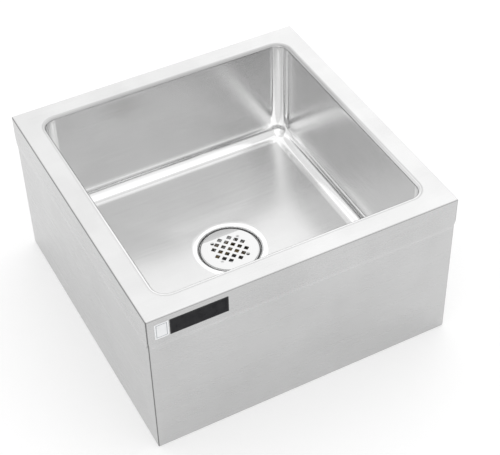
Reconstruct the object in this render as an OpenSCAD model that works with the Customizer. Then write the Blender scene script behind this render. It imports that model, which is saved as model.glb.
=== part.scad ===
// Floor-standing mop service sink: coved bowl, deck with apron, four-sided skirt
// and a central floor waste with a lift-out strainer. Millimetres, +Z up.
// Origin: centre of the footprint, on the floor. X runs along the front.

/* [Overall] */
// Overall width, left to right
sink_w = 609.6; // [590:0.1:800]
// Overall depth, front to back
sink_d = 609.6; // [590:0.1:800]
// Overall height, floor to deck
sink_h = 330.2; // [320:0.1:420]

/* [Sheet metal] */
// Thickness of the deck, bowl and skirt sheet
sheet_t = 1.5; // [1:0.1:2]
// Outer radius of a folded edge
bend_r = 2.5; // [2.2:0.1:4]
// Radius of the ground upright corners
edge_r = 2.2; // [2.1:0.1:4]

/* [Bowl] */
// Width of the opening in the deck
bowl_w = 533.4; // [420:0.1:545]
// Depth of the opening in the deck, front to back
bowl_d = 533.4; // [420:0.1:545]
// Drop from the deck to the floor at the foot of the walls
bowl_drop = 228.6; // [150:0.1:235]
// Radius of the rolled edge between deck and wall
roll_r = 6; // [3:0.5:10]
// Radius of the upright bowl corners
corner_r = 26; // [12:0.5:60]
// Radius of the cove at the foot of the walls
cove_r = 24; // [6:0.5:40]
// Fall of the bowl floor towards the waste
floor_fall = 7; // [2:0.5:10]
// Side of the flat square that the floor falls to
flat_side = 156; // [146:1:220]

/* [Drain recess] */
// Radius of the recess pressed in the bowl floor
recess_r = 62; // [60.5:0.5:66]
// Depth of the recess below the flat square
recess_drop = 9; // [8:0.5:14]
// Radius of the rolled lip of the recess
lip_r = 5; // [2.5:0.5:6]
// Radius of the cove in the recess
recess_cove_r = 1; // [0.5:0.1:2]

/* [Apron] */
// Height of the apron that turns down from the deck
apron_h = 68; // [45:1:100]
// Height of the slanted relief at each apron corner
relief_h = 19; // [5:1:30]
// Width of the slanted relief at the apron's lower edge
relief_w = 6; // [2:0.5:12]

/* [Skirt] */
// Width of the hem that turns in along the floor
hem_w = 25; // [10:1:40]
// Width of the flange that turns in under the deck
flange_w = 12; // [6:1:16]
// Leg of the angle inside each corner
angle_leg = 25; // [12:1:28]

/* [Sound pads] */
// Length of a pad under the bowl floor
pad_len = 190; // [80:5:230]
// Width of a pad
pad_w = 80; // [30:5:100]
// Thickness of a pad
pad_t = 3; // [1:0.5:6]

/* [Drain] */
// Outside diameter of the waste pipe that the gasket grips
pipe_d = 60.3; // [55:0.1:62]
// Radius of the drain's flange
drain_flange_r = 58.5; // [55:0.5:60]
// Thickness of the drain's flange
drain_flange_t = 3; // [2:0.5:5]
// Inside radius of the cup under the strainer
cup_r = 43.5; // [43:0.1:44.5]
// Wall of the cup
cup_wall = 4; // [3:0.5:5]
// Height of the cup below the flange
cup_h = 34; // [28:1:38]
// Thickness of the seal under the flange
seal_t = 1; // [0.5:0.5:2]
// Thickness of the rubber washer under the bowl
rubber_t = 3; // [2:0.5:5]
// Thickness of the fibre washer under the rubber one
fibre_t = 1.5; // [1:0.5:2.5]
// Height of the lock nut
nut_h = 9; // [6:1:11]
// Height of the gasket that grips the pipe
gasket_h = 20; // [12:1:22]
// Radial thickness of that gasket
gasket_t = 6; // [4:0.5:7]
// Height of the compression nut above the gasket
press_nut_h = 9; // [6:1:12]

/* [Strainer] */
// Radius of the strainer plate
plate_r = 57; // [52:0.5:58]
// Thickness of the strainer plate
plate_t = 2; // [1.5:0.5:3]
// Side of each square hole
hole_side = 8.5; // [4:0.5:9]
// Distance between neighbouring holes
hole_pitch = 14.3; // [11:0.1:14.6]
// Direction of the row of holes between the screws, in degrees
grid_angle = 40; // [0:1:90]
// Distance between the two screws
screw_spacing = 76.2; // [75:0.1:78]
// Diameter of the screw shank
screw_d = 4.6; // [3:0.1:5]
// Length of a screw below the plate
screw_len = 14; // [8:1:20]

/* [Labels] */
// Width of the blank label
label_w = 109; // [40:1:200]
// Height of both labels
label_h = 35; // [15:1:40]
// Width of the blank tag
tag_w = 26; // [15:1:40]
// Thickness of both labels
label_t = 0.3; // [0.2:0.1:0.5]
// Gap between the deck's face and the top of the labels
label_drop = 14; // [5:1:20]
// Gap between the front left corner and the tag
label_side = 14.5; // [5:0.5:40]

/* [Hidden] */
$fn = 64;

// A cutter runs this far past the face that it cuts
over = 1;
// Gap between a thread and its nut, or a gasket and its pocket
thread_gap = 0.2;
// Gap between a strainer screw and the hole that it turns in
screw_gap = 0.1;
// Gap round a screw in the strainer plate, at the shank and at the head
head_gap = 0.3;
// Gap between the cup and the bowl hole that it passes through
pass_gap = 1.2;
// Gap between the seal and the cove of the recess
seal_gap = 0.2;
// Gap between the pipe and the metal that it passes through
pipe_gap = 1.5;
// Gap between the two labels
label_gap = 1.9;
// Distance from the cove of the recess to the rim of the washers under it
washer_inset = 1;

// Bowl: the walls' visible faces, and the levels from the top down
wall_x = bowl_w / 2 - roll_r;
wall_y = bowl_d / 2 - roll_r;
bowl_cove = min(cove_r, corner_r);
floor_z = sink_h - bowl_drop;
flat_z = floor_z - floor_fall;
recess_z = flat_z - recess_drop;
recess_under = recess_z - sheet_t;

// Skirt: its outer faces lie against the inside of the apron
skirt_w = sink_w - 2 * sheet_t;
skirt_d = sink_d - 2 * sheet_t;
skirt_h = sink_h - sheet_t;
mitre_depth = 2 * hem_w;

// Drain above the bowl hole
flange_z = recess_z + seal_t;
seat_z = flange_z + drain_flange_t;
shank_r = cup_r + cup_wall;
bowl_hole_r = shank_r + pass_gap;

// Drain below the bowl hole
washer_r = recess_r - recess_cove_r - washer_inset;
rubber_z = recess_under - rubber_t;
fibre_z = rubber_z - fibre_t;
nut_z = fibre_z - nut_h;
nut_wall = 9;
lug_count = 8;
lug_w = 14;
lug_out = 2.5;

// Pipe pocket below the cup
pipe_pass_r = pipe_d / 2 + pipe_gap;
gasket_r = pipe_d / 2 + gasket_t;
hub_wall = 4;
hub_r = gasket_r + hub_wall;
hub_lip = 3;
nut_grip = 5;
cup_floor_z = flange_z - cup_h;
gasket_z = cup_floor_z - nut_grip - gasket_h;

// Strainer screws, and the bosses that they turn in
screw_r = screw_d / 2;
plate_land = 0.2;
countersink_h = 1.8;
head_rise = min(plate_t - plate_land, countersink_h);
head_r = screw_r + head_rise;
boss_wall = 3;
boss_r = screw_r + boss_wall;
boss_foot = 2;
boss_h = screw_len + boss_foot;

// ---------- shared shapes ----------

// Rounded rectangle with true round corners
module round_rect(w, d, r) {
    square([w - 2 * r, d], center = true);
    square([w, d - 2 * r], center = true);
    for (x = [-1, 1], y = [-1, 1])
        translate([x * (w / 2 - r), y * (d / 2 - r)])
            circle(r);
}

// Square box from low to high, with folded long edges and ground upright corners
module folded_box(w, d, low, high, fold_r, upright_r) {
    middle = (low + high) / 2;
    tall = high - low;
    intersection() {
        translate([0, 0, middle])
            rotate([90, 0, 0])
                linear_extrude(d, center = true)
                    round_rect(w, tall, fold_r);
        translate([0, 0, middle])
            rotate([90, 0, 90])
                linear_extrude(w, center = true)
                    round_rect(d, tall, fold_r);
        translate([0, 0, low])
            linear_extrude(tall)
                round_rect(w, d, upright_r);
    }
}

// Section of a sheet that turns down over a roll, drops as a wall and turns in at a cove.
// wall is the distance to the wall's visible face; low and high are the visible levels.
module step_section(wall, low, high, roll, cove) {
    intersection() {
        translate([wall + roll, high - roll])
            difference() {
                circle(roll);
                circle(roll - sheet_t);
            }
        translate([wall, high - roll])
            square(roll);
    }
    translate([wall, low + cove])
        square([sheet_t, high - roll - low - cove]);
    intersection() {
        translate([wall - cove, low + cove])
            difference() {
                circle(cove + sheet_t);
                circle(cove);
            }
        translate([wall - cove, low - sheet_t])
            square(cove + sheet_t);
    }
}

// Everything above the folded floor, lowered by drop
module above_floor(drop) {
    intersection() {
        rotate([90, 0, 0])
            linear_extrude(sink_d, center = true)
                floor_section(wall_x, drop);
        rotate([90, 0, 90])
            linear_extrude(sink_w, center = true)
                floor_section(wall_y, drop);
    }
}

// Section above the floor: level at the edge, falling, then level round the waste
module floor_section(wall, drop) {
    edge = wall - bowl_cove;
    flat = flat_side / 2;
    polygon([
        [-wall, sink_h], [-wall, floor_z - drop], [-edge, floor_z - drop],
        [-flat, flat_z - drop], [flat, flat_z - drop],
        [edge, floor_z - drop], [wall, floor_z - drop], [wall, sink_h]
    ]);
}

// Ring about the Z axis
module ring(inner, outer, low, high) {
    translate([0, 0, low])
        difference() {
            cylinder(r = outer, h = high - low);
            translate([0, 0, -over])
                cylinder(r = inner, h = high - low + 2 * over);
        }
}

// Places its children over a screw hole, turn degrees round from the right screw
module at_screw(turn) {
    rotate([0, 0, grid_angle + turn])
        translate([screw_spacing / 2, 0, 0])
            children();
}

// Flips its children to the corner with the signs x and y
module at_corner(x, y) {
    mirror([x < 0 ? 1 : 0, 0, 0])
        mirror([0, y < 0 ? 1 : 0, 0])
            children();
}

// ---------- deck and bowl ----------

module deck() {
    low = sink_h - apron_h;
    // The box's lower fold lies below the apron's edge, and is cut away
    fold_h = 2 * bend_r;
    color("gainsboro")
        difference() {
            folded_box(sink_w, sink_d, low - fold_h, sink_h, bend_r, edge_r);
            folded_box(skirt_w, skirt_d, low - fold_h - over, skirt_h,
                bend_r - sheet_t, edge_r - sheet_t);
            translate([0, 0, low - fold_h - over])
                linear_extrude(fold_h + over)
                    square([sink_w + 2 * over, sink_d + 2 * over], center = true);
            translate([0, 0, skirt_h - over])
                linear_extrude(sheet_t + 2 * over)
                    round_rect(bowl_w, bowl_d, corner_r + roll_r);
            for (x = [-1, 1], y = [-1, 1])
                at_corner(x, y)
                    apron_relief(low);
        }
}

// Slanted cuts that take the foot of one apron corner away
module apron_relief(low) {
    translate([sink_w / 2, sink_d / 2 + over, low])
        rotate([90, 0, 0])
            linear_extrude(sheet_t + over)
                relief_section();
    translate([sink_w / 2 - sheet_t, sink_d / 2, low])
        rotate([90, 0, 90])
            linear_extrude(sheet_t + over)
                relief_section();
}

module relief_section() {
    slope = relief_w / relief_h;
    polygon([
        [over, relief_h + over / slope],
        [-relief_w - over * slope, -over],
        [over, -over]
    ]);
}

module bowl() {
    side_x = wall_x - corner_r;
    side_y = wall_y - corner_r;
    color("silver") {
        for (a = [0, 180])
            rotate([0, 0, a]) {
                translate([side_x, 0, 0])
                    rotate([90, 0, 0])
                        linear_extrude(2 * side_y, center = true)
                            step_section(corner_r, floor_z, sink_h, roll_r, bowl_cove);
                translate([0, side_y, 0])
                    rotate([90, 0, 90])
                        linear_extrude(2 * side_x, center = true)
                            step_section(corner_r, floor_z, sink_h, roll_r, bowl_cove);
                translate([side_x, side_y, 0])
                    rotate_extrude(angle = 90)
                        step_section(corner_r, floor_z, sink_h, roll_r, bowl_cove);
                translate([-side_x, side_y, 0])
                    rotate([0, 0, 90])
                        rotate_extrude(angle = 90)
                            step_section(corner_r, floor_z, sink_h, roll_r, bowl_cove);
            }
        bowl_floor();
        drain_recess();
    }
}

module bowl_floor() {
    difference() {
        intersection() {
            above_floor(sheet_t);
            translate([0, 0, flat_z - 2 * sheet_t])
                linear_extrude(floor_fall + 4 * sheet_t)
                    round_rect(2 * (wall_x - bowl_cove), 2 * (wall_y - bowl_cove),
                        corner_r - bowl_cove);
        }
        above_floor(0);
        cylinder(r = recess_r + lip_r, h = sink_h);
    }
}

module drain_recess() {
    rotate_extrude()
        step_section(recess_r, recess_z, flat_z, lip_r, recess_cove_r);
    ring(bowl_hole_r, recess_r - recess_cove_r, recess_under, recess_z);
}

// ---------- skirt ----------

// The whole skirt: four folded sheets with a hem below and a flange above
module skirt_ring() {
    inner_fold = bend_r - sheet_t;
    inner_edge = edge_r - sheet_t;
    inner_w = skirt_w - 2 * sheet_t;
    inner_d = skirt_d - 2 * sheet_t;
    difference() {
        folded_box(skirt_w, skirt_d, 0, skirt_h, bend_r, edge_r);
        folded_box(inner_w, inner_d, sheet_t, skirt_h - sheet_t, inner_fold, inner_edge);
        translate([0, 0, -over])
            linear_extrude(sheet_t + bend_r)
                square([skirt_w - 2 * hem_w, skirt_d - 2 * hem_w], center = true);
        translate([0, 0, skirt_h - sheet_t - bend_r])
            linear_extrude(sheet_t + bend_r + over)
                square([skirt_w - 2 * flange_w, skirt_d - 2 * flange_w], center = true);
    }
}

// One side of the skirt, mitred at both ends; half is half its length, out its distance
module skirt_side(angle, half, out) {
    intersection() {
        skirt_ring();
        rotate([0, 0, angle])
            linear_extrude(skirt_h)
                polygon([
                    [-half, -out], [half, -out],
                    [half - mitre_depth, mitre_depth - out],
                    [mitre_depth - half, mitre_depth - out]
                ]);
    }
}

module skirt_front() {
    color("darkgray") skirt_side(0, skirt_w / 2, skirt_d / 2);
}

module skirt_right() {
    color("silver") skirt_side(90, skirt_d / 2, skirt_w / 2);
}

module skirt_back() {
    color("darkgray") skirt_side(180, skirt_w / 2, skirt_d / 2);
}

module skirt_left() {
    color("silver") skirt_side(270, skirt_d / 2, skirt_w / 2);
}

// Folded angle inside a skirt corner; x and y are the corner's signs
module corner_angle(x, y) {
    low = sheet_t + bend_r;
    color("gray")
        at_corner(x, y)
            translate([skirt_w / 2 - sheet_t, skirt_d / 2 - sheet_t, low])
                linear_extrude(skirt_h - 2 * low)
                    difference() {
                        angle_outline(0, angle_leg);
                        angle_outline(sheet_t, angle_leg + over);
                    }
}

// Square from -reach to -inset with the angle's fold on its outer corner
module angle_outline(inset, reach) {
    fold = bend_r - inset;
    side = reach - inset;
    translate([-reach, -reach]) {
        square([side, side - fold]);
        square([side - fold, side]);
    }
    translate([-inset - fold, -inset - fold])
        circle(fold);
}

// ---------- sound pads ----------

// Pad stuck under one fall of the bowl floor, midway between the flat and the cove
module sound_pad(angle, wall) {
    pad_corner_r = 4;
    edge = wall - bowl_cove;
    middle = (edge + flat_side / 2) / 2;
    color("dimgray")
        intersection() {
            difference() {
                above_floor(sheet_t + pad_t);
                above_floor(sheet_t);
            }
            rotate([0, 0, angle])
                translate([0, -middle, flat_z - sheet_t - pad_t])
                    linear_extrude(floor_fall + pad_t)
                        round_rect(pad_len, pad_w, pad_corner_r);
        }
}

// ---------- drain ----------

module drain_body() {
    color("lightgray")
        difference() {
            union() {
                ring(cup_r, drain_flange_r, flange_z, seat_z);
                ring(cup_r, shank_r, cup_floor_z, seat_z);
                ring(gasket_r, shank_r, cup_floor_z - hub_wall, cup_floor_z);
                ring(gasket_r, hub_r, gasket_z, cup_floor_z);
                ring(pipe_pass_r, hub_r, gasket_z - hub_lip, gasket_z);
                for (turn = [0, 180])
                    at_screw(turn)
                        screw_boss();
            }
            for (turn = [0, 180])
                at_screw(turn)
                    translate([0, 0, seat_z - boss_h - over])
                        cylinder(r = screw_r + screw_gap, h = boss_h + 2 * over);
        }
}

// Boss for a strainer screw, with a web out to the cup's wall
module screw_boss() {
    web = cup_r + cup_wall / 2 - screw_spacing / 2;
    translate([0, 0, seat_z - boss_h]) {
        cylinder(r = boss_r, h = boss_h);
        translate([0, -boss_r / 2, 0])
            cube([web, boss_r, boss_h]);
    }
}

module flange_seal() {
    color("black")
        ring(bowl_hole_r, recess_r - recess_cove_r - seal_gap, recess_z, flange_z);
}

module rubber_washer() {
    color("black")
        ring(bowl_hole_r, washer_r, rubber_z, recess_under);
}

module fibre_washer() {
    color("peru")
        ring(bowl_hole_r, washer_r, fibre_z, rubber_z);
}

module lock_nut() {
    nut_r = shank_r + nut_wall;
    color("goldenrod") {
        ring(shank_r + thread_gap, nut_r, nut_z, fibre_z);
        for (i = [0 : lug_count - 1])
            rotate([0, 0, i * 360 / lug_count])
                translate([nut_r - lug_out, -lug_w / 2, nut_z])
                    cube([2 * lug_out, lug_w, nut_h]);
    }
}

module pipe_gasket() {
    color("black")
        ring(pipe_d / 2, gasket_r - thread_gap, gasket_z, gasket_z + gasket_h);
}

module compression_nut() {
    low = gasket_z + gasket_h;
    notch_w = 8;
    notch_h = 3;
    color("goldenrod")
        difference() {
            ring(pipe_pass_r, gasket_r - thread_gap, low, low + press_nut_h);
            for (turn = [0, 90])
                rotate([0, 0, turn])
                    translate([-gasket_r, -notch_w / 2, low + press_nut_h - notch_h])
                        cube([2 * gasket_r, notch_w, notch_h + over]);
        }
}

// ---------- strainer ----------

module strainer_plate() {
    bevel = 0.6;
    color("whitesmoke")
        difference() {
            translate([0, 0, seat_z]) {
                cylinder(r = plate_r, h = plate_t - bevel);
                translate([0, 0, plate_t - bevel])
                    cylinder(r1 = plate_r, r2 = plate_r - bevel, h = bevel);
            }
            rotate([0, 0, grid_angle])
                for (i = [-2 : 2], j = [-2 : 2])
                    if (abs(i) + abs(j) < 4)
                        translate([i * hole_pitch, j * hole_pitch, seat_z])
                            cube([hole_side, hole_side, 3 * plate_t], center = true);
            for (turn = [0 : 90 : 270])
                at_screw(turn)
                    countersink();
        }
}

// Screw hole in the plate, countersunk from above
module countersink() {
    top = seat_z + plate_t;
    wide = head_r + head_gap;
    translate([0, 0, seat_z - over])
        cylinder(r = screw_r + head_gap, h = plate_t + 2 * over);
    translate([0, 0, top - head_rise])
        cylinder(r1 = wide - head_rise, r2 = wide, h = head_rise);
    translate([0, 0, top])
        cylinder(r = wide, h = over);
}

// Countersunk screw with a crossed slot, flush with the plate
module strainer_screw(turn) {
    top = seat_z + plate_t;
    slot_w = 0.9;
    slot_h = 1;
    slot_len = 1.3 * head_r;
    color("silver")
        at_screw(turn)
            difference() {
                union() {
                    translate([0, 0, seat_z - screw_len])
                        cylinder(r = screw_r, h = screw_len + plate_t - slot_h / 2);
                    translate([0, 0, top - head_rise])
                        cylinder(r1 = screw_r, r2 = head_r, h = head_rise);
                }
                for (slot = [0, 90])
                    rotate([0, 0, slot])
                        translate([-slot_len / 2, -slot_w / 2, top - slot_h])
                            cube([slot_len, slot_w, slot_h + over]);
            }
}

// ---------- labels ----------

// Thin plate stuck on the front of the apron, its left end at x
module apron_plate(x, w) {
    translate([x, -sink_d / 2 - label_t, sink_h - label_drop - label_h])
        cube([w, label_t, label_h]);
}

module front_tag() {
    color("white") apron_plate(label_side - sink_w / 2, tag_w);
}

module front_label() {
    color("black") apron_plate(label_side + tag_w + label_gap - sink_w / 2, label_w);
}

deck();
bowl();
skirt_front();
skirt_back();
skirt_left();
skirt_right();
corner_angle(-1, -1);  // corner_angle_front_left
corner_angle(1, -1);  // corner_angle_front_right
corner_angle(-1, 1);  // corner_angle_back_left
corner_angle(1, 1);  // corner_angle_back_right
sound_pad(0, wall_y);  // sound_pad_front
sound_pad(180, wall_y);  // sound_pad_back
sound_pad(270, wall_x);  // sound_pad_left
sound_pad(90, wall_x);  // sound_pad_right
drain_body();
flange_seal();
rubber_washer();
fibre_washer();
lock_nut();
pipe_gasket();
compression_nut();
strainer_plate();
strainer_screw(180);  // strainer_screw_left
strainer_screw(0);  // strainer_screw_right
front_label();
front_tag();
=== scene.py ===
"""Looks of the floor-standing mop service sink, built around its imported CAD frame.

Metres, +Z up, the front of the sink faces -Y.
"""

import math

import bpy
import bmesh
from mathutils import Matrix, Vector, noise


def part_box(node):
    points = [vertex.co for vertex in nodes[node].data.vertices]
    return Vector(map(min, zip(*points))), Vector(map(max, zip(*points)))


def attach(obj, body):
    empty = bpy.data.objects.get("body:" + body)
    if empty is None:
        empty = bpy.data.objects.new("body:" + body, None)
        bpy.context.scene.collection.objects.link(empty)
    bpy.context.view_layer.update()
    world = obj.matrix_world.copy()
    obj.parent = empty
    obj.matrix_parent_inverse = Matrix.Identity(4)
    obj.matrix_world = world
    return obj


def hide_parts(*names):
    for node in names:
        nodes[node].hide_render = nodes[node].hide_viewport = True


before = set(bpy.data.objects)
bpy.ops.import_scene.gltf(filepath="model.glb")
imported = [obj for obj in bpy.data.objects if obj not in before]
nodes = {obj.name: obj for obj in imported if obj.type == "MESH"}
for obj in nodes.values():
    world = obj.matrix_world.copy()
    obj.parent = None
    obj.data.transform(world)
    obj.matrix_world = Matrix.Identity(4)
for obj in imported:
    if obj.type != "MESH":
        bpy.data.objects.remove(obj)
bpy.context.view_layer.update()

MM = 0.001

# Sheet and bowl sizes, as in the part's source
SHEET = 1.5 * MM
ROLL = 6 * MM
CORNER = 26 * MM
COVE = 24 * MM
DROP = 228.6 * MM
FLOOR_FALL = 7 * MM
FLAT_HALF = 78 * MM
RECESS = 62 * MM
RECESS_DROP = 9 * MM
LIP = 5 * MM
RECESS_COVE = MM
DRAIN_HOLE = 48.7 * MM

# Valleys between the floor's falls: half width at the cove, growth inwards, and depth
VALLEY_HALF = 9 * MM
VALLEY_SPREAD = 0.10
VALLEY_DEPTH = 0.25
# Share of a fall over which it eases into the flat
FALL_EASE = 0.10
# Slow waves of the bowl: height, scale, and how far from the rim or the drain they fade
WAVE = 0.12 * MM
WAVE_SCALE = 9.0
WAVE_FADE = 30 * MM
# The rolled edge carries a painted shade, darkest on the far side: where that is, how dark, and
# the roll's polish, which also paints a lighter sheen
ROLL_SHADE_SIDE = Vector((0.45, 0.89, 0))
ROLL_SHADE = 0.58
ROLL_POLISH = 0.3
# The bowl's first ring is tucked under the deck's edge by this much, out and down
TUCK_OUT = 0.6 * MM
TUCK_DOWN = 0.4 * MM
# Rows of the bowl's walls and floor, and the share of the floor polished, with a painted sheen, at
# either end
WALL_ROWS = 22
FLOOR_ROWS = 46
POLISHED_END = 0.03

# Deck and skirt sizes
BEND = 2.5 * MM
EDGE = 2.2 * MM
# Rows beside a bend and round the hole, which keep their shading off the flats
BEND_END = BEND + 0.5 * MM
MARK_END = BEND + 1.6 * MM
HOLE_END = 4 * MM
RELIEF_W = 6 * MM
RELIEF_H = 19 * MM
HEM = 25 * MM
FLANGE = 12 * MM
# The broken edge round the hole, and the smallest radius at a corner
ARRIS = 0.15 * MM
TIGHTEST = 0.4 * MM
APRON_ROWS = 7
SKIRT_ROWS = 14
# Columns on either side of an upright corner that carry its weld
WELD_COLUMNS = 5
# Height over which the apron's foot is polished and lightened by a painted highlight, and how much
FOOT_H = 10 * MM
FOOT_POLISH_AND_SHEEN = 0.3

# Strainer, screw and label sizes
PLATE_ROUND = 0.35 * MM
LABEL_ROUND = 0.1 * MM
PLATE_POINTS = 160
# The tools that cut the screw holes: their points, and how far they pass the plate
SINK_POINTS = 40
SINK_PAST = 0.5 * MM
HOLE_SIDE = 8.5 * MM
HOLE_ROUND = 0.8 * MM
HOLE_PITCH = 14.3 * MM
GRID_ANGLE = 40
SCREW_RING = 38.1 * MM
SINK_TOP_R = 4.4 * MM
SINK_LOW_R = 2.6 * MM
SHANK_R = 2.3 * MM
HEAD_RISE = 1.8 * MM
SLOT_W = 0.9 * MM
SLOT_H = MM
# The slot's length in parts of the head's radius
SLOT_REACH = 1.3
HEAD_EASE = 0.15 * MM
# The head's rim from the cone to the flat: steps in and down, in parts of its ease
HEAD_RIM = ((1.4, 1.4), (0, 0.8), (0.3, 0.2), (1, 0))
# The shank's taper, and how far below the head the thread stops and the neck starts
TIP = 0.6 * MM
NECK_PLAIN = 2 * MM
NECK_START = 1.6 * MM
PITCH = MM
PITCH_ROWS = 6
SCREW_GROOVE = 0.28 * MM
SCREW_POINTS = 48

# Drain sizes
FLANGE_T = 3 * MM
CUP_R = 43.5 * MM
CUP_WALL = 4 * MM
CUP_H = 34 * MM
HUB_WALL = 4 * MM
HUB_LIP = 3 * MM
GASKET_R = 36.15 * MM
PIPE_R = 31.65 * MM
THREAD = 2 * MM
THREAD_GROOVE = 0.35 * MM
THREAD_STOP = 6 * MM
CUP_CHAMFER = 0.5 * MM
FLANGE_EASE = 0.8 * MM
FLANGE_CHAMFER = 0.4 * MM
DRAIN_POINTS = 144
BOSS_R = SHANK_R + 3 * MM
BOSS_H = 16 * MM
BOSS_POINTS = 48
# How far the bosses' tops lie under the flange's face, and their webs are down and shorter
BOSS_GAP = 0.05 * MM
WEB_DOWN = 0.1 * MM
WEB_SHORT = 0.4 * MM
BOSS_HOLE_R = SHANK_R + 0.1 * MM
BOSS_HOLE_POINTS = 32

# Edges sharper than these many degrees stay crisp: on sheets, turned pieces and labels
SHEET_SHARP = 50
TURNED_SHARP = 35
LABEL_SHARP = 30

deck_low, deck_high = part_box("deck")
_, bowl_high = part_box("bowl")
_, skirt_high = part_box("skirt_right")
TOP = deck_high.z
OUTER = deck_high.x
APRON_LOW = deck_low.z
WALL = bowl_high.x - ROLL
FLOOR = TOP - DROP
FLAT = FLOOR - FLOOR_FALL
HOLE = WALL + ROLL
SKIRT = skirt_high.x
SKIRT_TOP = skirt_high.z


# ---------- helpers ----------

def clamped(value):
    return min(max(value, 0), 1)


def arc(count):
    """The angles of a quarter turn, in steps, from 0 to a right angle."""
    return [math.radians(90 * i / count) for i in range(count + 1)]


def placed(name, data):
    """A new object of the data, in the scene."""
    piece = bpy.data.objects.new(name, data)
    bpy.context.scene.collection.objects.link(piece)
    return piece


def evaluated_mesh(piece):
    """A copy of the object's mesh with its modifiers or curve settings applied."""
    bpy.context.view_layer.update()
    seen = piece.evaluated_get(bpy.context.evaluated_depsgraph_get())
    return bpy.data.meshes.new_from_object(seen)


def coated(piece, material):
    """Gives a piece one material all over."""
    piece.data.materials.clear()
    piece.data.materials.append(material)


# ---------- shading ----------

def new_material(name):
    """A material whose Principled shader is ready to be set."""
    material = bpy.data.materials.new(name)
    material.use_nodes = True
    tree = material.node_tree
    return material, tree, tree.nodes["Principled BSDF"]


def stretched_noise(tree, scale, size, detail=2.0, seed=0.0):
    """Noise in object space, stretched by a scale for each axis."""
    place = tree.nodes.new("ShaderNodeTexCoord")
    mapping = tree.nodes.new("ShaderNodeMapping")
    mapping.inputs["Scale"].default_value = scale
    mapping.inputs["Location"].default_value = (seed, seed, seed)
    texture = tree.nodes.new("ShaderNodeTexNoise")
    texture.inputs["Scale"].default_value = size
    texture.inputs["Detail"].default_value = detail
    tree.links.new(place.outputs["Object"], mapping.inputs["Vector"])
    tree.links.new(mapping.outputs["Vector"], texture.inputs["Vector"])
    return texture.outputs["Fac"]


def ranged(tree, value, low, high, from_low=0.3, from_high=0.7):
    """The value, mapped from a noise's usual spread to low..high."""
    ramp = tree.nodes.new("ShaderNodeMapRange")
    ramp.inputs["From Min"].default_value = from_low
    ramp.inputs["From Max"].default_value = from_high
    ramp.inputs["To Min"].default_value = low
    ramp.inputs["To Max"].default_value = high
    tree.links.new(value, ramp.inputs["Value"])
    return ramp.outputs["Result"]


def feed(tree, value, slot):
    """Sets an input from a number or a colour, or links it from a socket."""
    if isinstance(value, (int, float)):
        slot.default_value = value
    elif isinstance(value, tuple):
        slot.default_value = (*value, 1)
    else:
        tree.links.new(value, slot)


def math_node(tree, operation, a, b=0):
    """The operation on two values, each a socket or a number."""
    step = tree.nodes.new("ShaderNodeMath")
    step.operation = operation
    feed(tree, a, step.inputs[0])
    feed(tree, b, step.inputs[1])
    return step.outputs["Value"]


def blended(tree, share, a, b):
    """A number between a and b by share; a and b are sockets or numbers."""
    mix = tree.nodes.new("ShaderNodeMix")
    tree.links.new(share, mix.inputs["Factor"])
    feed(tree, a, mix.inputs["A"])
    feed(tree, b, mix.inputs["B"])
    return mix.outputs["Result"]


def tinted(tree, share, a, b):
    """A colour between a and b by share; a and b are sockets or colours."""
    mix = tree.nodes.new("ShaderNodeMix")
    mix.data_type = "RGBA"
    feed(tree, a, mix.inputs["A"])
    feed(tree, b, mix.inputs["B"])
    tree.links.new(share, mix.inputs["Factor"])
    return mix.outputs["Result"]


def bumped(tree, shader, heights):
    """Chains bumps of (value, strength, distance) into the shader's normal."""
    last = None
    for value, strength, distance in heights:
        bump = tree.nodes.new("ShaderNodeBump")
        bump.inputs["Strength"].default_value = strength
        bump.inputs["Distance"].default_value = distance
        tree.links.new(value, bump.inputs["Height"])
        if last:
            tree.links.new(last, bump.inputs["Normal"])
        last = bump.outputs["Normal"]
    tree.links.new(last, shader.inputs["Normal"])


def painted(tree, name):
    """The value that a mesh carries under a name, or 0 where it carries none."""
    value = tree.nodes.new("ShaderNodeAttribute")
    value.attribute_name = name
    return value.outputs["Fac"]


def brushed_lines(tree):
    """Fine lines that run level on upright faces and along X on flat ones."""
    upright = stretched_noise(tree, (5, 5, 900), 1.0, detail=3.0)
    flat = stretched_noise(tree, (5, 900, 5), 1.0, detail=3.0)
    shape = tree.nodes.new("ShaderNodeNewGeometry")
    split = tree.nodes.new("ShaderNodeSeparateXYZ")
    tree.links.new(shape.outputs["Normal"], split.inputs["Vector"])
    facing = math_node(tree, "ABSOLUTE", split.outputs["Z"])
    return blended(tree, ranged(tree, facing, 0, 1, 0.6, 0.8), upright, flat)


def turned_lines(tree):
    """Fine rings round the drain's axis."""
    place = tree.nodes.new("ShaderNodeTexCoord")
    flat = tree.nodes.new("ShaderNodeVectorMath")
    flat.operation = "MULTIPLY"
    flat.inputs[1].default_value = (1, 1, 0)
    reach = tree.nodes.new("ShaderNodeVectorMath")
    reach.operation = "LENGTH"
    texture = tree.nodes.new("ShaderNodeTexNoise")
    texture.noise_dimensions = "1D"
    texture.inputs["Scale"].default_value = 900
    texture.inputs["Detail"].default_value = 3
    tree.links.new(place.outputs["Object"], flat.inputs[0])
    tree.links.new(flat.outputs["Vector"], reach.inputs[0])
    tree.links.new(reach.outputs["Value"], texture.inputs["W"])
    return texture.outputs["Fac"]


# How dark seams, and the painted shade along the bowl's roll and the deck's fold, are against
# their sheet
SEAM_AND_SHADE_LEVEL = 0.32


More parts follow.
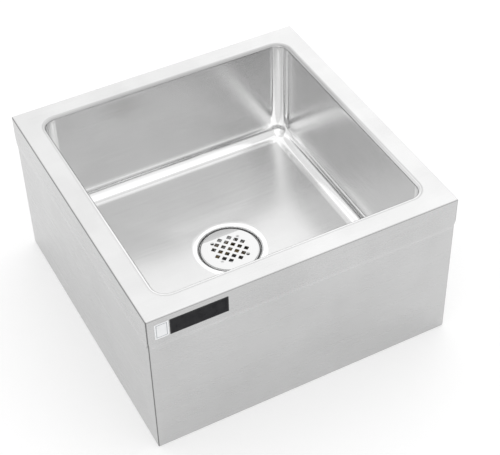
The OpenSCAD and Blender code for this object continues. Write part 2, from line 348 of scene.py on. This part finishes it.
def steel(name, level, rough, clouds=0.02, fine=0.03, swell=0.0, turned=False,
          polish=0.6, painted_sheen=1.0):
    """Stainless sheet: brushed lines, slow clouds, polished bends lightened by a painted sheen,
    and darker seams and painted shade.

    Where the mesh's polish is 1, the roughness is multiplied by polish and the tone by the painted
    sheen factor.
    """
    material, tree, shader = new_material(name)
    lines = turned_lines(tree) if turned else brushed_lines(tree)
    cloud = stretched_noise(tree, (1, 1, 1), 9.0, detail=2.0, seed=3.1)
    smear = stretched_noise(tree, (1, 1, 0.25), 26.0, detail=1.0, seed=5.3)
    tone = math_node(tree, "ADD", ranged(tree, cloud, level - clouds, level + clouds),
                     ranged(tree, lines, -fine, fine))
    tone = math_node(tree, "ADD", tone, ranged(tree, smear, -clouds / 3, clouds / 3))
    # Darkens welds and paints shade where the seam attribute says; lightens the tone as a painted
    # sheen where polish says
    for label, level_there in (("seam_and_shade", SEAM_AND_SHADE_LEVEL), ("polish", painted_sheen)):
        change = ranged(tree, painted(tree, label), 1.0, level_there, 0, 1)
        tone = math_node(tree, "MULTIPLY", tone, change)
    tree.links.new(tone, shader.inputs["Base Color"])
    plain = ranged(tree, lines, rough * 0.88, rough * 1.12)
    tree.links.new(blended(tree, painted(tree, "polish"), plain, rough * polish),
                   shader.inputs["Roughness"])
    shader.inputs["Metallic"].default_value = 1.0
    if swell:
        wave = stretched_noise(tree, (1, 1, 1), 7.0, detail=1.0, seed=7.7)
        bumped(tree, shader, [(wave, 1.0, swell)])
    return material


def dull(name, dark, light, rough, size, bump=0.0002, metallic=0.0):
    """A rubber, fibre, cast or plastic surface with a mottled tone and a slight bump."""
    material, tree, shader = new_material(name)
    spots = stretched_noise(tree, (1, 1, 1), size, detail=4.0)
    ground = tinted(tree, ranged(tree, spots, 0, 1), dark, light)
    tree.links.new(ground, shader.inputs["Base Color"])
    tree.links.new(ranged(tree, spots, rough * 0.9, rough * 1.1), shader.inputs["Roughness"])
    shader.inputs["Metallic"].default_value = metallic
    bumped(tree, shader, [(spots, 0.4, bump)])
    return material


def framed(name, node, face, border, margin, line, rough, gloss):
    """A blank label: a mottled face with a thin border line near its edge."""
    material, tree, shader = new_material(name)
    low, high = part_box(node)
    place = tree.nodes.new("ShaderNodeTexCoord")
    split = tree.nodes.new("ShaderNodeSeparateXYZ")
    tree.links.new(place.outputs["Object"], split.inputs["Vector"])
    gaps = []
    for axis in ("X", "Z"):
        i = "XYZ".index(axis)
        middle = (low[i] + high[i]) / 2
        half = (high[i] - low[i]) / 2
        offset = math_node(tree, "SUBTRACT", split.outputs[axis], middle)
        away = math_node(tree, "ABSOLUTE", offset)
        gaps.append(math_node(tree, "SUBTRACT", half - margin, away))
    inside = math_node(tree, "MINIMUM", gaps[0], gaps[1])
    near = math_node(tree, "ABSOLUTE", inside)
    on_line = ranged(tree, near, 1.0, 0.0, line * 0.4, line * 0.6)
    spots = stretched_noise(tree, (1, 1, 1), 60, detail=3.0)
    ground = tinted(tree, ranged(tree, spots, 0, 1), *face)
    tree.links.new(tinted(tree, on_line, ground, border), shader.inputs["Base Color"])
    tree.links.new(ranged(tree, spots, rough * 0.85, rough * 1.15), shader.inputs["Roughness"])
    shader.inputs["Specular IOR Level"].default_value = gloss
    return material


def dress(material, *names):
    """Gives CAD nodes a material in every slot."""
    for name in names:
        data = nodes[name].data
        if not data.materials:
            data.materials.append(material)
        for i in range(len(data.materials)):
            data.materials[i] = material


# ---------- sheets ----------

# Places of the columns beside each corner, from where its round starts
CORNER_STOPS = (0.0, 2.0 * MM, 3.8 * MM, 9 * MM)
PER_SIDE = 44
PER_CORNER = 14
QUARTER = PER_SIDE + PER_CORNER
CORNER_MID = PER_SIDE + PER_CORNER // 2


def outline(half, radius):
    """Points round a square with rounded corners, anticlockwise from the right side's low end."""
    inner = half - radius
    stops = [-inner + s for s in CORNER_STOPS]
    middle = PER_SIDE + 1 - 2 * len(CORNER_STOPS)
    start, end = stops[-1], -stops[-1]
    side = stops + [start + (end - start) * (i + 1) / (middle + 1) for i in range(middle)]
    side += [-s for s in reversed(stops)]
    points = []
    for quarter in range(4):
        turn = Matrix.Rotation(math.radians(90 * quarter), 2)
        points += [turn @ Vector((half, y)) for y in side[:-1]]
        for angle in arc(PER_CORNER)[:-1]:
            corner = Vector((inner + radius * math.cos(angle), inner + radius * math.sin(angle)))
            points.append(turn @ corner)
    return points


def level_ring(half, radius, z):
    return [Vector((p.x, p.y, z)) for p in outline(half, radius)]


def finished(name, mesh, node, body, values=None):
    """Makes an object of the mesh, with values per vertex, that stands for a CAD node."""
    for face in mesh.faces:
        face.smooth = True
    data = bpy.data.meshes.new(name)
    mesh.to_mesh(data)
    mesh.free()
    data.set_sharp_from_angle(angle=math.radians(SHEET_SHARP))
    for label, numbers in (values or {}).items():
        layer = data.attributes.new(label, "FLOAT", "POINT")
        spare = [0.0] * (len(data.vertices) - len(numbers))
        layer.data.foreach_set("value", numbers + spare)
    piece = placed(name, data)
    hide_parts(node)
    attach(piece, body)
    return piece


def sheet_mesh(rings, thickness, span=None, swell=None):
    """A closed sheet from rings of its visible face, all the way round or over a span.

    Also gives the rows of the visible face's vertices, which come first in the mesh.
    """
    mesh = bmesh.new()
    columns = span or list(range(len(rings[0])))
    count = len(columns)
    rows = [[mesh.verts.new(ring[c]) for c in columns] for ring in rings]
    pairs = [(i, (i + 1) % count) for i in range(count if span is None else count - 1)]
    for upper, lower in zip(rows, rows[1:]):
        for i, k in pairs:
            mesh.faces.new((upper[i], upper[k], lower[k], lower[i]))
    mesh.normal_update()
    normals = [[v.normal.copy() for v in row] for row in rows]
    back = [[mesh.verts.new(v.co - n * thickness) for v, n in zip(row, line)]
            for row, line in zip(rows, normals)]
    for upper, lower in zip(back, back[1:]):
        for i, k in pairs:
            mesh.faces.new((upper[i], lower[i], lower[k], upper[k]))
    for front_row, back_row, flip in ((rows[0], back[0], False), (rows[-1], back[-1], True)):
        for i, k in pairs:
            quad = (front_row[i], back_row[i], back_row[k], front_row[k])
            mesh.faces.new(tuple(reversed(quad)) if flip else quad)
    if span:
        for i, flip in ((0, False), (count - 1, True)):
            for upper, lower, upper_back, lower_back in zip(rows, rows[1:], back, back[1:]):
                quad = (upper[i], lower[i], lower_back[i], upper_back[i])
                mesh.faces.new(tuple(reversed(quad)) if flip else quad)
    if swell:
        for row, line in zip(rows, normals):
            for v, n in zip(row, line):
                v.co += n * swell(v.co)
    return mesh, rows


# ---------- bowl ----------

def floor_height(x, y):
    """Height of the bowl floor: four falls that meet in soft valleys, then a flat."""
    reach = WALL - COVE - FLAT_HALF
    a, b = abs(x), abs(y)
    soft = VALLEY_HALF + VALLEY_SPREAD * max(0.0, WALL - COVE - max(a, b))
    blend = max(0.0, soft - abs(a - b)) / soft
    along = max(a, b) + blend * blend * soft * VALLEY_DEPTH
    share = (along - FLAT_HALF) / reach
    if share <= -FALL_EASE:
        rise = 0.0
    elif share < FALL_EASE:
        rise = (share + FALL_EASE) ** 2 / (4 * FALL_EASE)
    else:
        rise = share
    return FLAT + FLOOR_FALL * min(rise, 1.0)


def bowl_rings():
    """Rings from under the deck's edge down to the drain hole, each with its polish, which also
    paints a lighter sheen.
    """
    rings = []
    polish = []

    def ring(inset, z, painted_sheen):
        rings.append(level_ring(WALL - inset, CORNER - inset, z))
        polish.append(painted_sheen)

    ring(-ROLL - TUCK_OUT, TOP - TUCK_DOWN, 0)
    for angle in arc(8):
        ring(-ROLL + ROLL * math.sin(angle), TOP - ROLL + ROLL * math.cos(angle), ROLL_POLISH)
    foot = FLOOR + COVE
    for i in range(1, WALL_ROWS):
        ring(0, TOP - ROLL + (foot - TOP + ROLL) * (i / WALL_ROWS), 0)
    for angle in arc(16):
        ring(COVE - COVE * math.cos(angle), foot - COVE * math.sin(angle), 1)
    start = rings[-1]
    brink = RECESS + LIP
    for i in range(1, FLOOR_ROWS + 1):
        share = i / FLOOR_ROWS
        row = []
        for p in start:
            far = Vector((p.x, p.y))
            flat = far.lerp(far.normalized() * brink, share)
            row.append(Vector((flat.x, flat.y, floor_height(flat.x, flat.y))))
        rings.append(row)
        polish.append(1 if share < POLISHED_END or share > 1 - POLISHED_END else 0)

    def circle(radius, z):
        up = Vector((0, 0, z))
        rings.append([Vector((p.x, p.y, 0)).normalized() * radius + up for p in start])
        polish.append(1)

    for angle in arc(8)[1:]:
        circle(brink - LIP * math.sin(angle), FLAT - LIP + LIP * math.cos(angle))
    low = FLAT - RECESS_DROP
    circle(RECESS, low + RECESS_COVE + MM)
    for angle in arc(4):
        circle(RECESS - RECESS_COVE + RECESS_COVE * math.cos(angle),
               low + RECESS_COVE - RECESS_COVE * math.sin(angle))
    circle((RECESS + DRAIN_HOLE) / 2, low)
    circle(DRAIN_HOLE, low)
    return rings, polish


def make_bowl(material):
    """The pressed bowl, with coves and upright corners more polished than its flats and lightened
    by a painted sheen, and painted shade along its roll's far side.
    """
    rings, polish = bowl_rings()
    wall_top, wall_foot = TOP - ROLL, FLOOR + COVE

    def swell(place):
        """Slow waves that die out at the rim and round the drain."""
        out = max(abs(place.x), abs(place.y))
        rim = clamped((wall_top - place.z) / WAVE_FADE)
        drain = clamped((out - FLAT_HALF) / WAVE_FADE)
        return WAVE * rim * drain * noise.noise(place * WAVE_SCALE)

    mesh, rows = sheet_mesh(rings, SHEET, swell=swell)
    painted_sheen = []
    seam_and_shade = []
    for row, value in zip(rows, polish):
        for i, v in enumerate(row):
            corner = i % QUARTER >= PER_SIDE or i % QUARTER == 0
            upright = wall_foot - MM <= v.co.z <= wall_top + MM
            # Polish, which also lightens the tone as a painted sheen, on coves, upright corners,
            # the roll and the floor's ends
            painted_sheen.append(max(value, 1.0 if corner and upright else 0.0))
            # Painted shade along the top of the roll, darkest on its far side
            far_side = clamped(0.5 + 0.7 * v.co.dot(ROLL_SHADE_SIDE) / WALL)
            up = clamped(1.5 * (v.co.z - wall_top) / ROLL)
            seam_and_shade.append(ROLL_SHADE * far_side * up)
    piece = finished("bowl_pressing", mesh, "bowl", "sink",
                     {"polish": painted_sheen, "seam_and_shade": seam_and_shade})
    coated(piece, material)


# ---------- deck ----------

def make_deck(material):
    """The folded deck: an eased hole edge, a tight fold and an apron cut away at its corners."""
    rings = []
    marks = []

    def ring(inset, drop, mark=0.0):
        rings.append(level_ring(OUTER - inset, max(EDGE - inset, TIGHTEST), TOP - drop))
        marks.append(mark)

    hole_round = CORNER + ROLL
    hole_edge = ((0, SHEET, 1.0), (0, ARRIS, 0.7), (ARRIS, 0, 0.3), (HOLE_END, 0, 0.0))
    for out, drop, mark in hole_edge:
        rings.append(level_ring(HOLE + out, hole_round + out, TOP - drop))
        marks.append(mark)
    width = OUTER - HOLE
    for share in (0.2, 0.4, 0.6, 0.8):
        inset = width * (1 - share)
        rings.append(level_ring(OUTER - inset, hole_round * (1 - share) + EDGE * share, TOP))
        marks.append(0.0)
    ring(BEND_END, 0)
    # Painted shade: the lowest rings of the fold carry a dark line all round
    for i, angle in enumerate(arc(6)):
        ring(BEND * (1 - math.sin(angle)), BEND * (1 - math.cos(angle)), 0.7 if i > 4 else 0.0)
    ring(0, BEND_END)
    ring(0, MARK_END)
    straight = TOP - MARK_END
    for i in range(1, APRON_ROWS + 1):
        row = []
        for p in outline(OUTER, EDGE):
            side = max(OUTER - abs(p.x), OUTER - abs(p.y))
            cut = max(0.0, 1 - side / RELIEF_W) if side <= RELIEF_W else 0.0
            foot = APRON_LOW + RELIEF_H * cut
            row.append(Vector((p.x, p.y, straight + (foot - straight) * i / APRON_ROWS)))
        rings.append(row)
        marks.append(0.0)
    rings.reverse()
    marks.reverse()
    mesh, rows = sheet_mesh(rings, SHEET)
    seam_and_shade = []
    painted_sheen = []
    for row, mark in zip(rows, marks):
        for i, v in enumerate(row):
            away = abs(i % QUARTER - CORNER_MID)
            upright = v.co.z < TOP - BEND
            # Painted shade: the fold on the left side is darkened all over
            fold = v.co.x < 2 * MM - OUTER and TOP - BEND - MM < v.co.z < TOP - 0.2 * BEND
            seam_and_shade.append(max(mark, 1.0 if fold or (upright and away <= WELD_COLUMNS) else 0.0))
            # The deck's top is polished and lightened by a painted sheen; a painted lighter band
            # fades up from the apron's foot
            foot = clamped(1 - (v.co.z - APRON_LOW) / FOOT_H)
            painted_sheen.append(1.0 if v.co.z > TOP - 0.5 * BEND else FOOT_POLISH_AND_SHEEN * foot)
    piece = finished("deck_sheet", mesh, "deck", "sink",
                     {"seam_and_shade": seam_and_shade, "polish": painted_sheen})
    coated(piece, material)


# ---------- skirt ----------

def make_skirts(material):
    """Four folded skirt sheets: a hem below, a flange above, welded at the upright corners."""
    profile = [(HEM, 0), (BEND_END, 0)]
    for angle in arc(6):
        profile.append((BEND * (1 - math.sin(angle)), BEND * (1 - math.cos(angle))))
    profile.append((0, BEND_END))
    tall = SKIRT_TOP
    for i in range(1, SKIRT_ROWS):
        profile.append((0, BEND_END + (tall - 2 * BEND_END) * i / SKIRT_ROWS))
    profile.append((0, tall - BEND_END))
    for angle in arc(6):
        profile.append((BEND * (1 - math.cos(angle)), tall - BEND * (1 - math.sin(angle))))
    profile += [(BEND_END, tall), (FLANGE, tall)]
    rings = [level_ring(SKIRT - inset, max(EDGE - inset, TIGHTEST), z) for inset, z in profile]
    total = 4 * QUARTER
    names = ("skirt_right", "skirt_back", "skirt_left", "skirt_front")
    for quarter, name in enumerate(names):
        first = (quarter - 1) * QUARTER + CORNER_MID
        span = [(first + i) % total for i in range(QUARTER + 1)]
        mesh, rows = sheet_mesh(rings, SHEET, span=span)
        seam_and_shade = []
        for row in rows:
            for i, v in enumerate(row):
                end = min(i, len(row) - 1 - i)
                seam_and_shade.append(1.0 if end < WELD_COLUMNS else 0.0)
        piece = finished(name + "_sheet", mesh, name, "sink", {"seam_and_shade": seam_and_shade})
        coated(piece, material)


# ---------- strainer, drain, screws and labels ----------

def flat_plate(name, loops, low, high, rounding):
    """A plate with eased edges from closed 2D loops: its outline, then its holes."""
    curve = bpy.data.curves.new(name, "CURVE")
    curve.dimensions = "2D"
    curve.fill_mode = "BOTH"
    curve.extrude = (high - low) / 2 - rounding
    curve.bevel_depth = rounding
    curve.bevel_resolution = 2
    curve.offset = -rounding
    for loop in loops:
        spline = curve.splines.new("POLY")
        spline.points.add(len(loop) - 1)
        for point, place in zip(spline.points, loop):
            point.co = (place[0], place[1], 0, 1)
        spline.use_cyclic_u = True
    drawn = placed(name + "_drawn", curve)
    data = evaluated_mesh(drawn)
    bpy.data.objects.remove(drawn)
    bpy.data.curves.remove(curve)
    mesh = bmesh.new()
    mesh.from_mesh(data)
    bpy.data.meshes.remove(data)
    bmesh.ops.remove_doubles(mesh, verts=mesh.verts, dist=1e-6)
    bmesh.ops.translate(mesh, verts=mesh.verts, vec=(0, 0, (low + high) / 2))
    bmesh.ops.recalc_face_normals(mesh, faces=mesh.faces)
    return mesh


def circle_points(x, y, radius, count):
    angles = [math.tau * i / count for i in range(count)]
    return [(x + radius * math.cos(a), y + radius * math.sin(a)) for a in angles]


def rounded_box(wide, tall, radius, steps):
    """Points round a box: half its width and height between its round corners' centres."""
    points = []
    for quarter in range(4):
        across = wide if quarter in (0, 3) else -wide
        up = tall if quarter in (0, 1) else -tall
        for step in range(steps + 1):
            angle = math.radians(90 * quarter + 90 / steps * step)
            points.append((across + radius * math.cos(angle), up + radius * math.sin(angle)))
    return points


def strainer_loops(radius):
    """The plate's outline and its square holes, which have small round corners."""
    loops = [circle_points(0, 0, radius, PLATE_POINTS)]
    turn = Matrix.Rotation(math.radians(GRID_ANGLE), 2)
    reach = HOLE_SIDE / 2 - HOLE_ROUND
    hole = rounded_box(reach, reach, HOLE_ROUND, 3)
    for i in range(-2, 3):
        for j in range(-2, 3):
            if abs(i) + abs(j) < 4:
                loops.append([turn @ Vector((i * HOLE_PITCH + x, j * HOLE_PITCH + y))
                              for x, y in hole])
    return loops


def carved(piece, tools, operation):
    """Takes the tools' volume out of the piece, or adds it, for good."""
    data = bpy.data.meshes.new("tools")
    tools.to_mesh(data)
    tools.free()
    cutter = placed("tools", data)
    cut = piece.modifiers.new("cut", "BOOLEAN")
    cut.operation = operation
    cut.solver = "EXACT"
    cut.use_self = True
    cut.object = cutter
    data = evaluated_mesh(piece)
    piece.modifiers.remove(cut)
    old = piece.data
    piece.data = data
    bpy.data.meshes.remove(old)
    bpy.data.objects.remove(cutter)


def make_strainer(material):
    """The lift-out plate: 21 eased square holes and four countersunk screw holes."""
    low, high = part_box("strainer_plate")
    mesh = flat_plate("plate", strainer_loops(high.x), low.z, high.z, PLATE_ROUND)
    piece = finished("strainer_grille", mesh, "strainer_plate", "strainer")
    tools = bmesh.new()
    for turn in range(4):
        angle = math.radians(GRID_ANGLE + 90 * turn)
        x, y = SCREW_RING * math.cos(angle), SCREW_RING * math.sin(angle)
        sink = SINK_TOP_R - SINK_LOW_R
        cone = Matrix.Translation((x, y, high.z - sink / 2 + SINK_PAST))
        bmesh.ops.create_cone(tools, cap_ends=True, segments=SINK_POINTS, radius1=SINK_LOW_R,
                              radius2=SINK_TOP_R + SINK_PAST, depth=sink + 2 * SINK_PAST,
                              matrix=cone)
        shaft = Matrix.Translation((x, y, (low.z + high.z) / 2 - SINK_PAST))
        bmesh.ops.create_cone(tools, cap_ends=True, segments=SINK_POINTS, radius1=SINK_LOW_R,
                              radius2=SINK_LOW_R, depth=high.z - low.z + 2 * SINK_PAST,
                              matrix=shaft)
    carved(piece, tools, "DIFFERENCE")
    eased(piece, TURNED_SHARP)
    coated(piece, material)


def eased(piece, angle):
    """Smooth shading that stays crisp on flats and at edges sharper than an angle."""
    piece.data.set_sharp_from_angle(angle=math.radians(angle))
    weigh = piece.modifiers.new("weigh", "WEIGHTED_NORMAL")
    weigh.keep_sharp = True


def make_drain(material):
    """The drain: eased flange, threaded cup, pipe pocket and two bosses for screws."""
    low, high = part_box("drain_body")
    seat = high.z
    flange = seat - FLANGE_T
    floor = flange - CUP_H
    pocket = low.z + HUB_LIP
    shank = CUP_R + CUP_WALL
    ease = FLANGE_EASE
    section = [(CUP_R, floor), (GASKET_R, floor), (GASKET_R, pocket),
               (PIPE_R, pocket), (PIPE_R, low.z),
               (GASKET_R + HUB_WALL, low.z), (GASKET_R + HUB_WALL, floor - HUB_WALL),
               (shank - CUP_CHAMFER, floor - HUB_WALL), (shank, floor - HUB_WALL + CUP_CHAMFER)]
    thread_top = flange - THREAD_STOP
    threads = round((thread_top - floor) / THREAD)
    for i in range(threads):
        z = floor + i * THREAD
        section += [(shank, z), (shank - THREAD_GROOVE, z + 0.5 * THREAD)]
    section += [(shank, thread_top), (shank, flange),
                (high.x - FLANGE_CHAMFER, flange), (high.x, flange + FLANGE_CHAMFER)]
    for angle in arc(4):
        section.append((high.x - ease + ease * math.cos(angle),
                        seat - ease + ease * math.sin(angle)))
    section += [(CUP_R + FLANGE_CHAMFER, seat), (CUP_R, seat - FLANGE_CHAMFER)]
    mesh = bmesh.new()
    rows = [[mesh.verts.new((x, y, z)) for x, y in circle_points(0, 0, r, DRAIN_POINTS)]
            for r, z in section]
    for row, after in zip(rows, rows[1:] + rows[:1]):
        for i in range(DRAIN_POINTS):
            k = (i + 1) % DRAIN_POINTS
            mesh.faces.new((row[i], row[k], after[k], after[i]))
    bmesh.ops.recalc_face_normals(mesh, faces=mesh.faces)
    piece = finished("drain_casting", mesh, "drain_body", "sink")
    bosses, holes = bmesh.new(), bmesh.new()
    tall = BOSS_H - BOSS_GAP
    middle = seat - BOSS_H / 2 - BOSS_GAP / 2
    web = CUP_R + CUP_WALL / 2 - SCREW_RING
    for turn in (0, 180):
        spin = Matrix.Rotation(math.radians(GRID_ANGLE + turn), 4, "Z")
        place = spin @ Matrix.Translation((SCREW_RING, 0, middle))
        bmesh.ops.create_cone(bosses, cap_ends=True, segments=BOSS_POINTS, radius1=BOSS_R,
                              radius2=BOSS_R, depth=tall, matrix=place)
        wall = spin @ Matrix.Translation((SCREW_RING + web / 2, 0, middle - WEB_DOWN))
        size = Matrix.Diagonal((web, BOSS_R, tall - WEB_SHORT, 1))
        bmesh.ops.create_cube(bosses, size=1, matrix=wall @ size)
        bmesh.ops.create_cone(holes, cap_ends=True, segments=BOSS_HOLE_POINTS,
                              radius1=BOSS_HOLE_R, radius2=BOSS_HOLE_R,
                              depth=BOSS_H + 2 * MM, matrix=place)
    carved(piece, bosses, "UNION")
    carved(piece, holes, "DIFFERENCE")
    eased(piece, TURNED_SHARP)
    coated(piece, material)


def make_screw(name, node, body, material):
    """A strainer screw: threaded shank, countersunk head with an eased rim and a crossed slot."""
    low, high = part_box(node)
    x, y = (low.x + high.x) / 2, (low.y + high.y) / 2
    head_r = (high.x - low.x) / 2
    neck = high.z - HEAD_RISE
    rows = []

    def ring(radius, z, thread=0.0):
        row = []
        for i in range(SCREW_POINTS):
            turn = i / SCREW_POINTS
            phase = (z / PITCH - turn) % 1.0
            r = radius - thread * abs(2 * phase - 1)
            row.append((x + r * math.cos(math.tau * turn), y + r * math.sin(math.tau * turn), z))
        rows.append(row)

    ring(SHANK_R - TIP, low.z)
    ring(SHANK_R - TIP / 2, low.z + TIP / 2)
    steps = round((neck - NECK_PLAIN - low.z - TIP) / (PITCH / PITCH_ROWS))
    for i in range(steps + 1):
        ring(SHANK_R, low.z + TIP + i * PITCH / PITCH_ROWS, SCREW_GROOVE)
    ring(SHANK_R, neck - NECK_START)
    ring(SHANK_R, neck)
    for inward, down in HEAD_RIM:
        ring(head_r - inward * HEAD_EASE, high.z - down * HEAD_EASE)
    mesh = bmesh.new()
    rows = [[mesh.verts.new(p) for p in row] for row in rows]
    for lower, upper in zip(rows, rows[1:]):
        for i in range(SCREW_POINTS):
            k = (i + 1) % SCREW_POINTS
            mesh.faces.new((lower[i], lower[k], upper[k], upper[i]))
    mesh.faces.new(tuple(reversed(rows[0])))
    mesh.faces.new(tuple(rows[-1]))
    piece = finished(name, mesh, node, body)
    tools = bmesh.new()
    reach = SLOT_REACH * head_r
    for turn in (0, 90):
        spin = Matrix.Rotation(math.radians(GRID_ANGLE + turn), 4, "Z")
        size = Matrix.Diagonal((reach, SLOT_W, 2 * SLOT_H, 1))
        place = Matrix.Translation((x, y, high.z)) @ spin @ size
        bmesh.ops.create_cube(tools, size=1, matrix=place)
    carved(piece, tools, "DIFFERENCE")
    eased(piece, TURNED_SHARP)
    coated(piece, material)


def make_label(name, node, material, radius):
    """A blank label with round corners and an eased edge, stuck on the apron."""
    low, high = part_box(node)
    x, z = (low.x + high.x) / 2, (low.z + high.z) / 2
    wide, tall = (high.x - low.x) / 2 - radius, (high.z - low.z) / 2 - radius
    loop = rounded_box(wide, tall, radius, 6)
    thick = high.y - low.y
    mesh = flat_plate(name + "_flat", [loop], -thick / 2, thick / 2, LABEL_ROUND)
    upright = Matrix.Rotation(math.radians(90), 4, "X")
    turn = Matrix.Translation((x, (low.y + high.y) / 2, z)) @ upright
    bmesh.ops.transform(mesh, matrix=turn, verts=mesh.verts)
    piece = finished(name, mesh, node, "sink")
    eased(piece, LABEL_SHARP)
    coated(piece, material)


# ---------- studio ----------

CAMERA_PLACE = (-0.8129, -1.6881, 1.9276)
CAMERA_TARGET = (0.0276, -0.0344, 0.1651)
CAMERA_ROLL = -1.557
CAMERA_LENS = 96.3

# The floor: its half size, gap under the sink, grey, and glow to the camera and to gloss
FLOOR_HALF = 12
FLOOR_GAP = 0.3 * MM
FLOOR_GREY = 0.68
FLOOR_LIFT = 0.345

# The studio's even level, and its lobes: direction, half angle in degrees, gain
STUDIO_LEVEL = 1.08
STUDIO_LOBES = (
    ((0.25, 0.43, 0.87), 38, 0.29),
    ((-0.82, 0.0, 0.57), 34, -0.31),
    ((0.0, 0.82, 0.57), 34, -0.20),
    ((0.38, 0.91, 0.14), 40, 0.25),
    ((-0.70, -0.70, 0.14), 26, 0.25),
    ((0.38, -0.91, 0.14), 40, -0.24),
)


def aim_camera():
    """Puts the camera at the photo's viewing angle."""
    camera = placed("camera", bpy.data.cameras.new("camera"))
    view = Vector(CAMERA_TARGET) - Vector(CAMERA_PLACE)
    turn = view.to_track_quat("-Z", "Y").to_matrix()
    camera.matrix_world = (Matrix.Translation(CAMERA_PLACE) @ turn.to_4x4()
                           @ Matrix.Rotation(math.radians(CAMERA_ROLL), 4, "Z"))
    camera.data.lens = CAMERA_LENS
    camera.data.sensor_width = 36
    camera.data.clip_end = 50
    bpy.context.scene.camera = camera


def make_world():
    """A pale studio all round with soft lobes, the same to every kind of ray."""
    world = bpy.data.worlds.new("studio")
    bpy.context.scene.world = world
    world.use_nodes = True
    tree = world.node_tree
    tree.nodes.clear()
    place = tree.nodes.new("ShaderNodeTexCoord")
    level = STUDIO_LEVEL
    for direction, reach, gain in STUDIO_LOBES:
        toward = tree.nodes.new("ShaderNodeVectorMath")
        toward.operation = "DOT_PRODUCT"
        toward.inputs[1].default_value = Vector(direction).normalized()
        tree.links.new(place.outputs["Generated"], toward.inputs[0])
        lobe = tree.nodes.new("ShaderNodeMapRange")
        lobe.interpolation_type = "SMOOTHSTEP"
        lobe.inputs["From Min"].default_value = math.cos(math.radians(reach))
        lobe.inputs["From Max"].default_value = 1.0
        lobe.inputs["To Max"].default_value = gain
        tree.links.new(toward.outputs["Value"], lobe.inputs["Value"])
        level = math_node(tree, "ADD", lobe.outputs["Result"], level)
    studio = tree.nodes.new("ShaderNodeBackground")
    tree.links.new(level, studio.inputs["Strength"])
    studio.inputs["Color"].default_value = (1, 1, 1, 1)
    out = tree.nodes.new("ShaderNodeOutputWorld")
    tree.links.new(studio.outputs["Background"], out.inputs["Surface"])


def make_floor():
    """A pale floor that keeps the sink's shadow, and that is clear when seen from below."""
    mesh = bmesh.new()
    bmesh.ops.create_grid(mesh, x_segments=1, y_segments=1, size=FLOOR_HALF)
    data = bpy.data.meshes.new("floor")
    mesh.to_mesh(data)
    mesh.free()
    floor = placed("floor", data)
    floor.location.z = -FLOOR_GAP
    material, tree, shader = new_material("floor_white")
    shader.inputs["Base Color"].default_value = (FLOOR_GREY, FLOOR_GREY, FLOOR_GREY, 1)
    shader.inputs["Roughness"].default_value = 0.9
    shader.inputs["Specular IOR Level"].default_value = 0.1
    glow = tree.nodes.new("ShaderNodeEmission")
    path = tree.nodes.new("ShaderNodeLightPath")
    seen = math_node(tree, "MAXIMUM", path.outputs["Is Camera Ray"], path.outputs["Is Glossy Ray"])
    seen = math_node(tree, "MAXIMUM", seen, path.outputs["Is Transmission Ray"])
    tree.links.new(math_node(tree, "MULTIPLY", seen, FLOOR_LIFT), glow.inputs["Strength"])
    lit = tree.nodes.new("ShaderNodeAddShader")
    tree.links.new(shader.outputs["BSDF"], lit.inputs[0])
    tree.links.new(glow.outputs["Emission"], lit.inputs[1])
    shape = tree.nodes.new("ShaderNodeNewGeometry")
    clear = tree.nodes.new("ShaderNodeBsdfTransparent")
    sides = tree.nodes.new("ShaderNodeMixShader")
    tree.links.new(shape.outputs["Backfacing"], sides.inputs["Fac"])
    tree.links.new(lit.outputs["Shader"], sides.inputs[1])
    tree.links.new(clear.outputs["BSDF"], sides.inputs[2])
    tree.links.new(sides.outputs["Shader"], tree.nodes["Material Output"].inputs["Surface"])
    data.materials.append(material)


# ---------- the scene ----------

aim_camera()
make_world()
make_floor()
bpy.context.scene.view_settings.view_transform = "Standard"

deck_steel = steel("deck_steel_finish", 0.565, 0.28, fine=0.009, swell=0.0002,
                   polish=0.9, painted_sheen=1.26)
skirt_steel = steel("skirt_steel_finish", 0.575, 0.30, clouds=0.015, fine=0.007,
                    swell=0.0006)
bowl_steel = steel("bowl_steel_finish", 0.72, 0.22, clouds=0.015, fine=0.015,
                   polish=0.6, painted_sheen=1.34)
drain_steel = steel("drain_steel_finish", 0.68, 0.22, turned=True)
plate_steel = steel("strainer_steel_finish", 0.75, 0.03, clouds=0.01, turned=True)
screw_steel = steel("screw_steel_finish", 0.66, 0.2, clouds=0.03)
black_rubber = dull("rubber_finish", (0.13, 0.13, 0.13), (0.19, 0.19, 0.19), 0.7, 120)
red_fibre = dull("fibre_finish", (0.32, 0.10, 0.05), (0.48, 0.18, 0.09), 0.7, 160)
brass = dull("brass_finish", (0.42, 0.32, 0.17), (0.56, 0.44, 0.25), 0.42, 60, metallic=1.0)
pad_finish = dull("pad_finish", (0.04, 0.04, 0.042), (0.08, 0.08, 0.085), 0.85, 90, bump=0.0006)
label_black = framed("label_black_finish", "front_label",
                     ((0.008, 0.008, 0.01), (0.02, 0.02, 0.022)), (0.10, 0.10, 0.10),
                     1.4 * MM, 0.4 * MM, 0.3, 0.12)
label_white = framed("label_white_finish", "front_tag",
                     ((0.90, 0.91, 0.92), (0.94, 0.95, 0.96)), (0.30, 0.32, 0.35),
                     3.4 * MM, 1.0 * MM, 0.3, 0.4)

make_bowl(bowl_steel)
make_deck(deck_steel)
make_skirts(skirt_steel)
make_strainer(plate_steel)
make_label("blank_label", "front_label", label_black, 1.0 * MM)
make_label("blank_tag", "front_tag", label_white, 2.0 * MM)
for side in ("left", "right"):
    make_screw("screw_" + side + "_turned", "strainer_screw_" + side, "screw_" + side, screw_steel)
make_drain(drain_steel)

dress(skirt_steel, "corner_angle_front_left", "corner_angle_front_right",
      "corner_angle_back_left", "corner_angle_back_right")
dress(black_rubber, "flange_seal", "rubber_washer", "pipe_gasket")
dress(red_fibre, "fibre_washer")
dress(brass, "lock_nut", "compression_nut")
dress(pad_finish, "sound_pad_front", "sound_pad_back", "sound_pad_left", "sound_pad_right")
